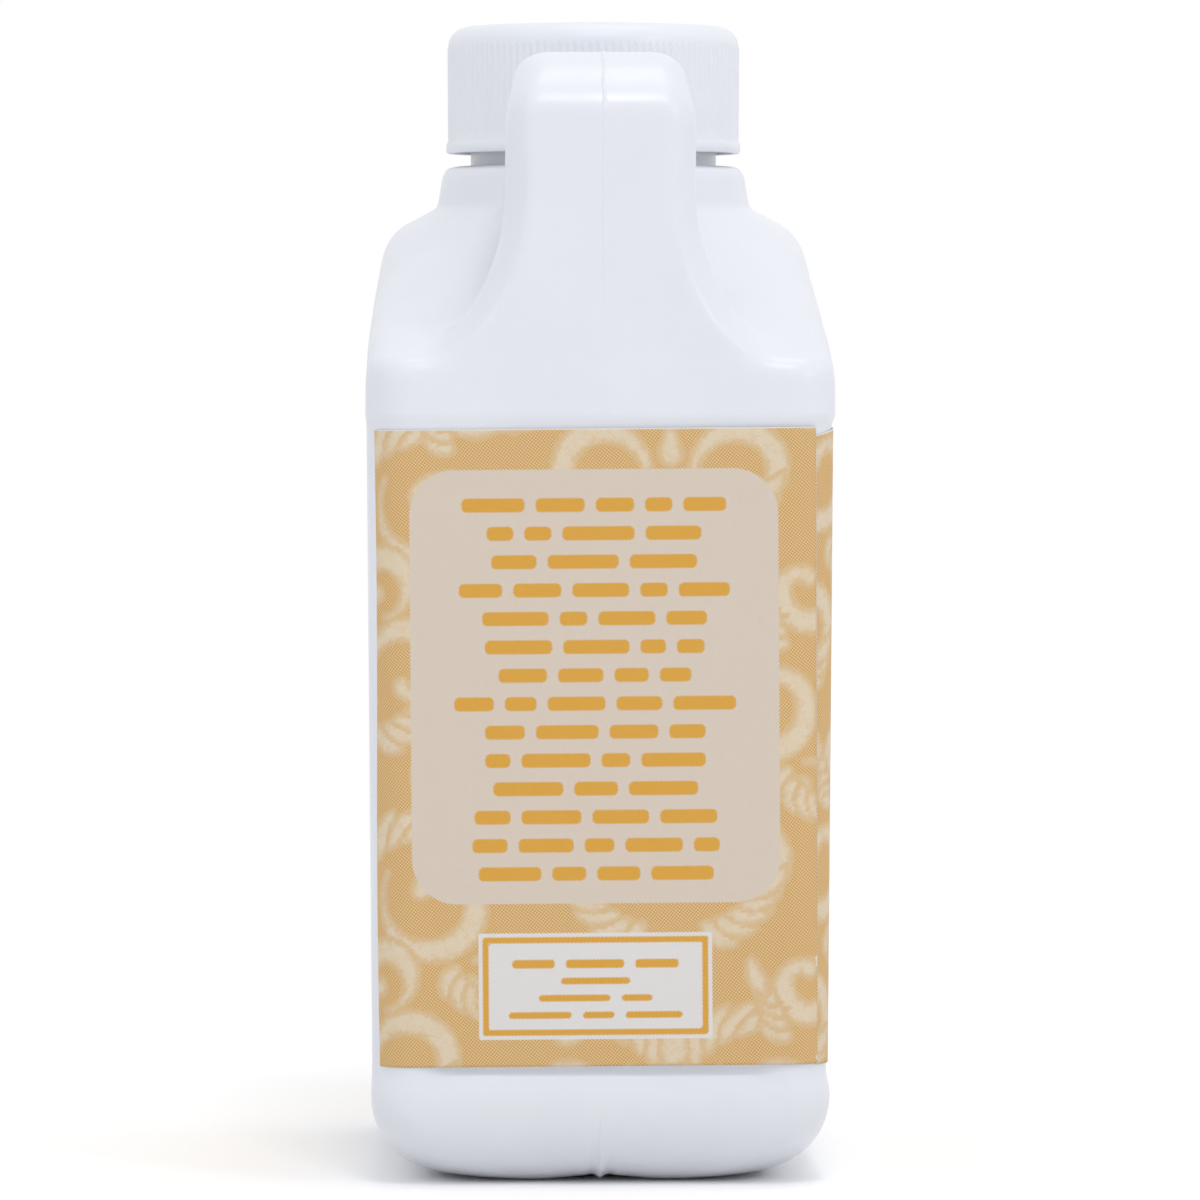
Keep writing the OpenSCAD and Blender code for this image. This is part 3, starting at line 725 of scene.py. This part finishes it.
def backPrint(points):  # distances to the cream panel, the plate, its frame and the gold bars
    b = backLabel
    rng = np.random.default_rng(b["seed"])
    right = b["width"] - b["panelRight"]
    panel = boxDistance(points, b["panelLeft"], right, b["panelLow"], b["panelHigh"], b["panelRound"])
    plate = boxDistance(points, b["plateLeft"], b["plateRight"], b["plateLow"], b["plateHigh"],
                        b["plateRound"])
    gold = np.abs(plate + b["borderIn"] + b["border"] / 2) - b["border"] / 2

    def withLine(gold, middle, y, width, half, r):
        for start, length in wordBars(rng, width):
            left = middle + start
            gold = np.minimum(gold, boxDistance(points, left, left + length, y - half, y + half, r))
        return gold

    middle = (b["panelLeft"] + right) / 2
    for line in range(b["lines"]):
        width = b["lineMost"] * rng.uniform(b["lineLeast"], 1)
        y = b["lineTop"] - b["lineStep"] * line
        gold = withLine(gold, middle, y, width, b["lineHalf"], b["lineRound"])
    middle = (b["plateLeft"] + b["plateRight"]) / 2
    for line, width in enumerate(b["smallWidths"]):
        y = mix(b["smallTop"], b["smallLow"], line / (len(b["smallWidths"]) - 1))
        half = b["smallHalf"] if line else b["firstSmallHalf"]
        gold = withLine(gold, middle, y, width, half, b["smallRound"])
    return panel, plate, gold


def labelSheet(name, wide, tall, grid, place, marks):  # paper grid with the print's distances as attributes
    bm = bmesh.new()
    bmesh.ops.create_grid(bm, x_segments=round(wide / grid), y_segments=round(tall / grid), size=0.5)
    flat = np.array([[(v.co.x + 0.5) * wide, (v.co.y + 0.5) * tall] for v in bm.verts])
    flat, spots = place(flat)
    for vert, spot in zip(bm.verts, spots):
        vert.co = Vector(spot) * mm
    bmesh.ops.recalc_face_normals(bm, faces=bm.faces)
    middle = min(bm.faces, key=lambda f: f.calc_center_median().y)
    if middle.normal.y > 0:
        bmesh.ops.reverse_faces(bm, faces=bm.faces)
    mesh = toMesh(bm, name)
    for label, values in [("flat", np.column_stack([flat, np.zeros(len(flat))]))] + marks(flat):
        kind = "FLOAT_VECTOR" if values.ndim == 2 else "FLOAT"
        layer = mesh.attributes.new(label, kind, "POINT")
        layer.data.foreach_set("vector" if values.ndim == 2 else "value", values.astype(np.float32).ravel())
    mesh.polygons.foreach_set("use_smooth", [True] * len(mesh.polygons))
    piece = toObject(mesh, name)
    card = piece.modifiers.new("card", "SOLIDIFY")
    card.thickness = paper["thick"] * mm
    card.offset = -1
    card.use_rim = True
    card.material_offset_rim = 1
    card.material_offset = 1
    return piece


def makeBackLabel():
    b = backLabel
    skew = math.radians(b["skew"])
    out = paper["glue"] * 2 + paper["thick"] * 2

    def place(flat):
        across, up = flat[:, 0] - b["width"] / 2, flat[:, 1] - b["height"] / 2
        s = across * math.cos(skew) - up * math.sin(skew) + b["shift"]
        z = b["low"] + b["height"] / 2 + up * math.cos(skew) + across * math.sin(skew)
        wave = b["wave"] * np.sin(across / 9 + 1) * np.sin(up / 13)
        lifted = ease(b["lyingTo"], b["liftedFrom"], across)  # only the right part has paper under it
        sunk = (paper["glue"] + paper["thick"]) * (1 - lifted)
        return flat, panelPoint(s, z, out - sunk + wave)

    def marks(flat):
        field, tone = ornament(flat + np.array([3.5, 9]))
        panel, plate, gold = backPrint(flat)
        trim = np.minimum(b["height"] - b["bareTop"] - flat[:, 1], b["width"] - b["bareSide"] - flat[:, 0])
        # Round bites at the right edge are left unprinted, showing bare paper; the lowest one is a painted
        # highlight on a small paper bubble
        for height, radius in b["bareSpotsAndHighlight"]:
            trim = np.minimum(trim, np.hypot(flat[:, 0] - b["width"], flat[:, 1] - height) - radius)
        return [("scroll", field), ("tone", tone), ("panel", panel), ("plate", plate), ("gold", gold),
                ("trim", trim)]

    piece = labelSheet("back_paper", b["width"], b["height"], b["grid"], place, marks)
    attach(piece, "bottle")
    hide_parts("back_label")
    return piece


def makeWrapLabel():
    w = wrapLabel
    hx, hy = float(halfWidth(60)) - shell["panelDepth"], shell["depth"] / 2 - shell["panelDepth"]
    r = shell["corner"] - shell["panelDepth"]
    wide = 3 * (hx - r) + 4 * (hy - r) + 3 * r * math.pi / 2 - w["bare"] - w["start"]
    out = paper["glue"] + paper["thick"]

    def place(flat):
        centre = np.array([wide / 2, w["height"] / 2])
        inner = centre - w["round"]
        local = flat - centre
        beyond = np.maximum(np.abs(local) - inner, 0) / w["round"]
        u, v = beyond[:, 0], beyond[:, 1]
        rounded = np.stack([u * np.sqrt(1 - v ** 2 / 2), v * np.sqrt(1 - u ** 2 / 2)], 1) * w["round"]
        both = (u > 0) & (v > 0)
        added = np.where(both[:, None], rounded, beyond * w["round"])
        flat = np.sign(local) * (np.minimum(np.abs(local), inner) + added) + centre
        atStart = 1 - ease(-w["dropTo"] / 2, w["dropTo"], flat[:, 0])
        z = w["low"] + flat[:, 1] - w["drop"] * atStart * (flat[:, 1] / w["height"]) ** 6
        return flat, panelPoint(flat[:, 0] + w["start"], z, np.full(len(flat), out))

    def marks(flat):
        field, tone = ornament(flat + np.array([10, 4]))
        return [("scroll", field), ("tone", tone), ("trim", w["height"] - w["bareTop"] - flat[:, 1])]

    piece = labelSheet("wrap_paper", wide, w["height"], w["grid"], place, marks)
    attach(piece, "bottle")
    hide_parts("wrap_label")
    return piece


back = makeBackLabel()
wrap = makeWrapLabel()
print("labels made")


# Materials
def newGroup(name, inputs, outputs):
    group = bpy.data.node_groups.new(name, "ShaderNodeTree")
    for label, kind, value in inputs:
        socket = group.interface.new_socket(name=label, in_out="INPUT", socket_type=kind)
        if value is not None:
            socket.default_value = value
    for label, kind in outputs:
        group.interface.new_socket(name=label, in_out="OUTPUT", socket_type=kind)
    return group, group.nodes.new("NodeGroupInput"), group.nodes.new("NodeGroupOutput")


def addNode(tree, kind, links=(), **values):  # a node with its values set and its inputs linked
    node = tree.nodes.new(kind)
    for key, value in values.items():
        setattr(node, key, value)
    for socket, source in links:
        if hasattr(source, "is_output"):
            tree.links.new(source, node.inputs[socket])
        else:
            node.inputs[socket].default_value = source
    return node


def mixColour(tree, factor, a, b):
    return addNode(tree, "ShaderNodeMix", [(0, factor), (6, a), (7, b)], data_type="RGBA").outputs[2]


def maths(tree, operation, a, b=0.0):
    return addNode(tree, "ShaderNodeMath", [(0, a), (1, b)], operation=operation).outputs[0]


def mixShaders(tree, factor, a, b):
    links = [(0, factor), (1, a.outputs[0]), (2, b.outputs[0])]
    return addNode(tree, "ShaderNodeMixShader", links)


def addShaders(tree, a, b):
    return addNode(tree, "ShaderNodeAddShader", [(0, a.outputs[0]), (1, b.outputs[0])])


def ranged(tree, value, low, high, outLow=0.0, outHigh=1.0):
    return addNode(tree, "ShaderNodeMapRange", [(0, value), (1, low), (2, high), (3, outLow), (4, outHigh)],
                   interpolation_type="SMOOTHSTEP").outputs[0]


# Fine uneven skin of a moulded surface: a normal, and a slow mottle for tint and gloss
def makeGrainGroup():
    group, into, out = newGroup("skinGrain", [("Scale", "NodeSocketFloat", 900.0),
                                              ("Strength", "NodeSocketFloat", 0.1),
                                              ("Mottle Scale", "NodeSocketFloat", 60.0)],
                                [("Normal", "NodeSocketVector"), ("Mottle", "NodeSocketFloat")])
    where = addNode(group, "ShaderNodeTexCoord").outputs["Object"]
    fine = addNode(group, "ShaderNodeTexNoise", [("Vector", where), ("Scale", into.outputs["Scale"]),
                                                 ("Detail", 3.0)])
    slow = addNode(group, "ShaderNodeTexNoise", [("Vector", where), ("Scale", into.outputs["Mottle Scale"]),
                                                 ("Detail", 4.0), ("Roughness", 0.6)])
    bump = addNode(group, "ShaderNodeBump", [("Strength", into.outputs["Strength"]), ("Distance", 0.0001),
                                             ("Height", fine.outputs["Fac"])])
    group.links.new(bump.outputs["Normal"], out.inputs["Normal"])
    group.links.new(ranged(group, slow.outputs["Fac"], 0.3, 0.7), out.inputs["Mottle"])
    return group


# Print screen: round dots on a turned grid, 1 in a dot's middle and 0 between dots
def makeDotsGroup():
    group, into, out = newGroup("printDots", [("Flat", "NodeSocketVector", None),
                                              ("Pitch", "NodeSocketFloat", 0.27)],
                                [("Dots", "NodeSocketFloat")])
    turned = addNode(group, "ShaderNodeVectorRotate", [("Vector", into.outputs["Flat"]),
                                                       ("Angle", math.radians(38))])
    scaled = addNode(group, "ShaderNodeVectorMath", [(0, turned.outputs[0]), (1, into.outputs["Pitch"])],
                     operation="DIVIDE")
    cell = addNode(group, "ShaderNodeVectorMath", [(0, scaled.outputs[0])], operation="FRACTION")
    gap = addNode(group, "ShaderNodeVectorMath", [(0, cell.outputs[0]), (1, (0.5, 0.5, 0))],
                  operation="DISTANCE")
    group.links.new(ranged(group, gap.outputs["Value"], 0.1, 0.6, 1.0, 0.0), out.inputs["Dots"])
    return group


grainGroup = makeGrainGroup()
dotsGroup = makeDotsGroup()


def placeGroup(tree, group, **values):
    node = tree.nodes.new("ShaderNodeGroup")
    node.node_tree = group
    for key, value in values.items():
        node.inputs[key.replace("_", " ")].default_value = value
    return node


def newMaterial(name, finish):  # a grained skin; its colour and its gloss follow the mottle where they vary
    material = bpy.data.materials.new(name)
    material.use_nodes = True
    tree = material.node_tree
    shader = tree.nodes["Principled BSDF"].inputs
    shader["Roughness"].default_value = finish["rough"]
    shader["IOR"].default_value = finish["ior"]
    scale, strength, mottleScale = finish["grain"]
    grain = placeGroup(tree, grainGroup, Scale=scale, Strength=strength, Mottle_Scale=mottleScale).outputs
    tree.links.new(grain["Normal"], shader["Normal"])
    if "colour" in finish:
        colour = mixColour(tree, grain["Mottle"], finish["colour"], finish["shade"])
        tree.links.new(colour, shader["Base Color"])
    if "uneven" in finish:
        less, more = finish["uneven"]
        gloss = ranged(tree, grain["Mottle"], 0.0, 1.0, finish["rough"] - less, finish["rough"] + more)
        tree.links.new(gloss, shader["Roughness"])
    return material, tree, shader, grain


bottleFinish = {
    "colour": (0.83, 0.84, 0.89, 1), "shade": (0.81, 0.82, 0.875, 1), "rough": 0.31, "uneven": [0.03, 0.05],
    "ior": 1.54, "grain": [700.0, 0.12, 55.0], "lineHalf": 0.35, "lineFades": [112, 120],
}
capFinish = {
    "colour": (0.84, 0.855, 0.90, 1), "shade": (0.825, 0.84, 0.89, 1), "rough": 0.38, "uneven": [0.04, 0.06],
    "ior": 1.49, "grain": [1300.0, 0.1, 90.0],
}
foamFinish = {
    "colour": (0.88, 0.88, 0.87, 1), "shade": (0.80, 0.80, 0.79, 1), "rough": 0.85, "ior": 1.5,
    "grain": [2600.0, 0.6, 400.0],
}
bareFinish = {  # the back of a label and its cut edges
    "colour": (0.80, 0.78, 0.76, 1), "shade": (0.76, 0.74, 0.72, 1), "rough": 0.8, "ior": 1.45,
    "grain": [2600.0, 0.3, 300.0],
}
inks = {
    "ground": (0.60, 0.33, 0.085, 1), "groundDots": (0.81, 0.585, 0.33, 1),
    "scroll": (0.78, 0.68, 0.53, 1), "scrollShade": (0.70, 0.49, 0.26, 1),
    "cream": (0.71, 0.61, 0.515, 1), "creamDots": (0.67, 0.545, 0.42, 1),
    "white": (0.765, 0.735, 0.715, 1), "gold": (0.72, 0.37, 0.05, 1), "pitch": 0.34,
    "rough": 0.62, "uneven": [0.06, 0.08], "ior": 1.45, "grain": [2200.0, 0.18, 150.0],
}


def makeBottleMaterial():
    material, tree, shader, grain = newMaterial("bottlePolyethylene", bottleFinish)
    where = addNode(tree, "ShaderNodeTexCoord").outputs["Object"]
    spot = addNode(tree, "ShaderNodeSeparateXYZ", [(0, where)]).outputs
    offLine = maths(tree, "ABSOLUTE", maths(tree, "SUBTRACT", spot["X"], flash["x"] * mm))
    ridge = ranged(tree, offLine, 0.0, bottleFinish["lineHalf"] * mm, 1.0, 0.0)
    fadeLow, fadeHigh = bottleFinish["lineFades"]
    ridge = maths(tree, "MULTIPLY", ridge, ranged(tree, spot["Z"], fadeLow * mm, fadeHigh * mm))
    bump = addNode(tree, "ShaderNodeBump", [("Strength", 0.35), ("Distance", 0.00012), ("Height", ridge),
                                            ("Normal", grain["Normal"])])
    tree.links.new(bump.outputs["Normal"], shader["Normal"])
    return material


def marked(tree, name):  # one of the print's distances, which the label's mesh carries
    return addNode(tree, "ShaderNodeAttribute", attribute_name=name).outputs["Fac"]


def scrollColour(tree, dots, blotch):  # ochre ground with pale scrolls, both broken up by the print screen
    edge = maths(tree, "ADD", marked(tree, "scroll"), maths(tree, "MULTIPLY", blotch, 1.1))
    cover = ranged(tree, edge, 0.3, -0.25)
    ground = mixColour(tree, dots, inks["ground"], inks["groundDots"])
    depth = maths(tree, "ADD", marked(tree, "tone"), maths(tree, "MULTIPLY", blotch, 1.6))
    pale = mixColour(tree, ranged(tree, depth, 0.2, 1.15), inks["scrollShade"], inks["scroll"])
    pale = mixColour(tree, maths(tree, "MULTIPLY", dots, 0.6), pale, inks["scrollShade"])
    return mixColour(tree, cover, ground, pale)


def makePaperMaterial(name, withPanel):
    material, tree, shader, _ = newMaterial(name, inks)
    flat = addNode(tree, "ShaderNodeAttribute", attribute_name="flat").outputs["Vector"]
    screen = placeGroup(tree, dotsGroup, Pitch=inks["pitch"])
    tree.links.new(flat, screen.inputs["Flat"])
    dots = screen.outputs["Dots"]
    blotch = addNode(tree, "ShaderNodeTexNoise", [("Vector", flat), ("Scale", 0.8), ("Detail", 5.0),
                                                  ("Roughness", 0.65), ("Distortion", 1.2)]).outputs["Fac"]
    blotch = maths(tree, "SUBTRACT", blotch, 0.5)
    colour = scrollColour(tree, dots, blotch)
    if withPanel:
        cream = mixColour(tree, maths(tree, "MULTIPLY", dots, 0.3), inks["cream"], inks["creamDots"])
        cream = mixColour(tree, ranged(tree, blotch, 0.02, 0.3, 0.0, 0.35), cream, inks["creamDots"])
        colour = mixColour(tree, ranged(tree, marked(tree, "panel"), 0.1, -0.1), colour, cream)
        colour = mixColour(tree, ranged(tree, marked(tree, "plate"), 0.08, -0.08), colour, inks["white"])
        ragged = maths(tree, "ADD", marked(tree, "gold"), maths(tree, "MULTIPLY", dots, 0.1))
        colour = mixColour(tree, ranged(tree, ragged, 0.17, -0.05), colour, inks["gold"])
    printed = ranged(tree, marked(tree, "trim"), -0.08, 0.08)
    tree.links.new(mixColour(tree, printed, bareFinish["colour"], colour), shader["Base Color"])
    return material


edgeMaterial = newMaterial("barePaper", bareFinish)[0]
bottle.data.materials.append(makeBottleMaterial())
cap.data.materials.append(newMaterial("capPolypropylene", capFinish)[0])
liner.data.materials.append(newMaterial("linerFoam", foamFinish)[0])
back.data.materials.append(makePaperMaterial("backLabelPrint", True))
wrap.data.materials.append(makePaperMaterial("wrapLabelPrint", False))
for label in (back, wrap):
    label.data.materials.append(edgeMaterial)
print("materials made")


# Studio, in metres: pale floor, white surround for the camera, soft light from above and from both sides
studio = {
    "floorSize": 3, "floorColour": (0.88, 0.88, 0.885, 1), "floorLift": (0.26, 0.25, 0.24, 1),
    "floorReach": 0.3, "floorGlow": 0.05, "glowFrom": 0.05, "glowFull": 0.11,
    "worldColour": (0.95, 0.975, 1, 1), "worldLight": 0.74, "aim": (0, 0, 0.08),
}
lamps = [
    {"name": "topLight", "at": (0.1, -0.75, 1.2), "size": 0.3, "power": 2.55, "colour": (1, 1, 1)},
    {"name": "overLight", "at": (0.15, 0.1, 1.4), "size": 0.6, "power": 2.2, "colour": (1, 1, 1)},
    {"name": "rightLight", "at": (1.0, -0.9, 0.7), "size": 0.15, "power": 1.5, "colour": (1, 0.995, 0.985)},
    {"name": "leftLight", "at": (-0.9, -0.9, 0.75), "size": 0.12, "power": 0.45, "colour": (0.98, 0.99, 1)},
]


def cameraSees(tree):  # 1 for rays that show the surround itself: seen, mirrored or through glass
    path = addNode(tree, "ShaderNodeLightPath")
    seen = maths(tree, "MAXIMUM", path.outputs["Is Camera Ray"], path.outputs["Is Glossy Ray"])
    return maths(tree, "MAXIMUM", seen, path.outputs["Is Transmission Ray"])


def makeFloor():
    bm = bmesh.new()
    bmesh.ops.create_grid(bm, x_segments=1, y_segments=1, size=studio["floorSize"])
    floor = toObject(toMesh(bm, "floor"), "floor")
    material = bpy.data.materials.new("paleFloor")
    material.use_nodes = True
    tree = material.node_tree
    tree.nodes.remove(tree.nodes["Principled BSDF"])
    diffuse = addNode(tree, "ShaderNodeBsdfDiffuse", [("Color", studio["floorColour"])])
    lift = addNode(tree, "ShaderNodeBsdfDiffuse", [("Color", studio["floorLift"])])
    lit = addShaders(tree, diffuse, lift)
    white = addNode(tree, "ShaderNodeEmission", [("Strength", 1.0)])
    where = addNode(tree, "ShaderNodeTexCoord").outputs["Object"]
    away = addNode(tree, "ShaderNodeVectorMath", [(0, where)], operation="LENGTH").outputs["Value"]
    far = ranged(tree, away, studio["floorReach"] / 2, studio["floorReach"])
    seen = mixShaders(tree, far, lit, white)
    # The floor round the object shines a little, as in a light tent
    around = ranged(tree, away, studio["glowFrom"], studio["glowFull"], 0.0, studio["floorGlow"])
    glow = addNode(tree, "ShaderNodeEmission", [("Strength", around)])
    shown = mixShaders(tree, cameraSees(tree), addShaders(tree, diffuse, glow), seen)
    tree.links.new(shown.outputs[0], tree.nodes["Material Output"].inputs["Surface"])
    floor.data.materials.append(material)


def makeWorld():
    world = bpy.data.worlds.new("surround")
    world.use_nodes = True
    tree = world.node_tree
    light = tree.nodes["Background"]
    light.inputs["Color"].default_value = studio["worldColour"]
    light.inputs["Strength"].default_value = studio["worldLight"]
    white = addNode(tree, "ShaderNodeBackground", [("Color", (1, 1, 1, 1)), ("Strength", 1.0)])
    shown = mixShaders(tree, cameraSees(tree), light, white)
    tree.links.new(shown.outputs[0], tree.nodes["World Output"].inputs["Surface"])
    bpy.context.scene.world = world


def makeLamps():
    aim = Vector(studio["aim"])
    for lamp in lamps:
        data = bpy.data.lights.new(lamp["name"], "AREA")
        data.energy = lamp["power"]
        data.size = lamp["size"]
        data.color = lamp["colour"]
        light = bpy.data.objects.new(lamp["name"], data)
        light.location = lamp["at"]
        light.rotation_euler = (aim - light.location).to_track_quat("-Z", "Y").to_euler()
        bpy.context.scene.collection.objects.link(light)


makeFloor()
makeWorld()
makeLamps()
bpy.context.scene.view_settings.view_transform = "Standard"
print("studio made")
